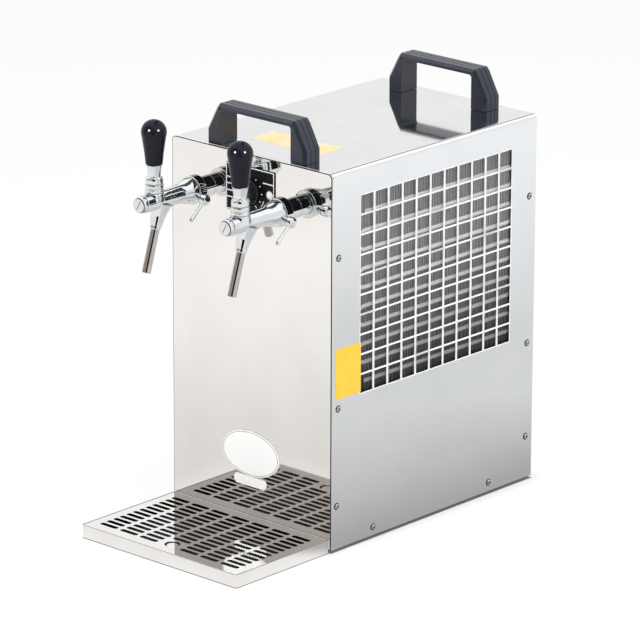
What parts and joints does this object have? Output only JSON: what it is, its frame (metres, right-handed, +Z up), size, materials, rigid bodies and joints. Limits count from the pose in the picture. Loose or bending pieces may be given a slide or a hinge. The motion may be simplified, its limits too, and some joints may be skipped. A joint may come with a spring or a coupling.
{
  "type": "dry cooler beer dispenser",
  "caption": "Countertop dry beer cooler: polished steel casing with carrying grips, punched air grilles, compensator taps with black knobs and a slotted drip tray.",
  "frame": {"origin": "centre of the overall footprint, on the counter that the feet and the drip tray stand on", "axes": "+Z up; the taps and the drip tray face -Y; +X is the side with the large condenser grille"},
  "size_m": [0.244, 0.5218, 0.4903],
  "materials": {
    "polished_steel": "mirror-polished stainless sheet",
    "plain_steel": "plain mill finish",
    "chrome": "bright chrome plate",
    "grip_plastic": "satin anthracite polyamide",
    "black_plastic": "gloss black thermoset",
    "dial_black": "satin printed plate",
    "lamp_white": "clear white lens",
    "rubber": "matt black rubber",
    "dark_aluminium": "dark coated fins",
    "aluminium": "plain aluminium",
    "copper": "drawn copper",
    "foam": "closed-cell foam",
    "black_enamel": "black enamel",
    "grey_plastic": "moulded grey",
    "clear_hose": "milky hose"
  },
  "bodies": {
    "casing": {"base_plate": "plain_steel", "foot_front_left": "rubber", "foot_front_right": "rubber", "foot_rear_left": "rubber", "foot_rear_right": "rubber", "front_panel": "polished_steel", "cover": "polished_steel", "rear_panel": "plain_steel", "front_grip": "grip_plastic", "rear_grip": "grip_plastic", "dial_plate": "dial_black", "thermostat_body": "grey_plastic", "pilot_lamp": "lamp_white", "tap_shank_left": "chrome", "tap_body_left": "chrome", "tap_plug_left": "chrome", "tap_bonnet_left": "chrome", "spout_sleeve_left": "chrome", "spout_tube_left": "chrome", "tap_shank_right": "chrome", "tap_body_right": "chrome", "tap_plug_right": "chrome", "tap_bonnet_right": "chrome", "spout_sleeve_right": "chrome", "spout_tube_right": "chrome", "condenser_fins": "dark_aluminium", "condenser_coil": "aluminium", "fan_shroud": "plain_steel", "fan_bracket": "plain_steel", "fan_motor": "black_enamel", "compressor": "black_enamel", "compressor_mount_front_left": "rubber", "compressor_mount_front_right": "rubber", "compressor_mount_rear_left": "rubber", "compressor_mount_rear_right": "rubber", "block_shelf": "plain_steel", "insulation_box": "foam", "cooling_block": "aluminium", "insulation_lid": "foam", "tap_line_left": "clear_hose", "tap_line_right": "clear_hose", "supply_line_left": "clear_hose", "supply_line_right": "clear_hose", "terminal_box": "grey_plastic", "filter_drier": "copper", "discharge_line": "copper", "beer_inlet_left": "chrome", "beer_inlet_right": "chrome", "power_inlet": "black_plastic"},
    "tap_handle_left": {"tap_lever_left": "chrome", "tap_knob_left": "black_plastic"},
    "tap_handle_right": {"tap_lever_right": "chrome", "tap_knob_right": "black_plastic"},
    "flow_lever_left": {"flow_lever_left": "chrome"},
    "flow_lever_right": {"flow_lever_right": "chrome"},
    "thermostat_knob": {"thermostat_knob": "black_plastic"},
    "fan": {"fan_rotor": "grey_plastic"},
    "drip_tray": {"drip_tray": "polished_steel"},
    "drip_grid": {"drip_grid": "polished_steel"}
  },
  "joints": [
    {"name": "tap_handle_left_tilt", "type": "hinge", "parent": "casing", "child": "tap_handle_left", "pos_m": [-0.0656, -0.19545, 0.42], "axis": [1, 0, 0], "range_deg": [-12, 30]},
    {"name": "tap_handle_right_tilt", "type": "hinge", "parent": "casing", "child": "tap_handle_right", "pos_m": [0.0656, -0.19545, 0.42], "axis": [1, 0, 0], "range_deg": [-12, 30]},
    {"name": "flow_lever_left_turn", "type": "hinge", "parent": "casing", "child": "flow_lever_left", "pos_m": [-0.0433, -0.13745, 0.3883], "axis": [1, 0, 0], "range_deg": [-45, 40]},
    {"name": "flow_lever_right_turn", "type": "hinge", "parent": "casing", "child": "flow_lever_right", "pos_m": [0.0879, -0.13745, 0.3883], "axis": [1, 0, 0], "range_deg": [-45, 40]},
    {"name": "thermostat_turn", "type": "hinge", "parent": "casing", "child": "thermostat_knob", "pos_m": [0, -0.118, 0.4005], "axis": [0, 1, 0], "range_deg": [-150, 150]},
    {"name": "fan_spin", "type": "hinge", "parent": "casing", "child": "fan", "pos_m": [0.0754, 0.06955, 0.292], "axis": [1, 0, 0], "continuous": true},
    {"name": "drip_tray_pull", "type": "slide", "parent": "casing", "child": "drip_tray", "axis": [0, -1, 0], "range_m": [0, 0.16]},
    {"name": "drip_grid_lift", "type": "slide", "parent": "drip_tray", "child": "drip_grid", "axis": [0, 0, 1], "range_m": [0, 0.06]}
  ]
}
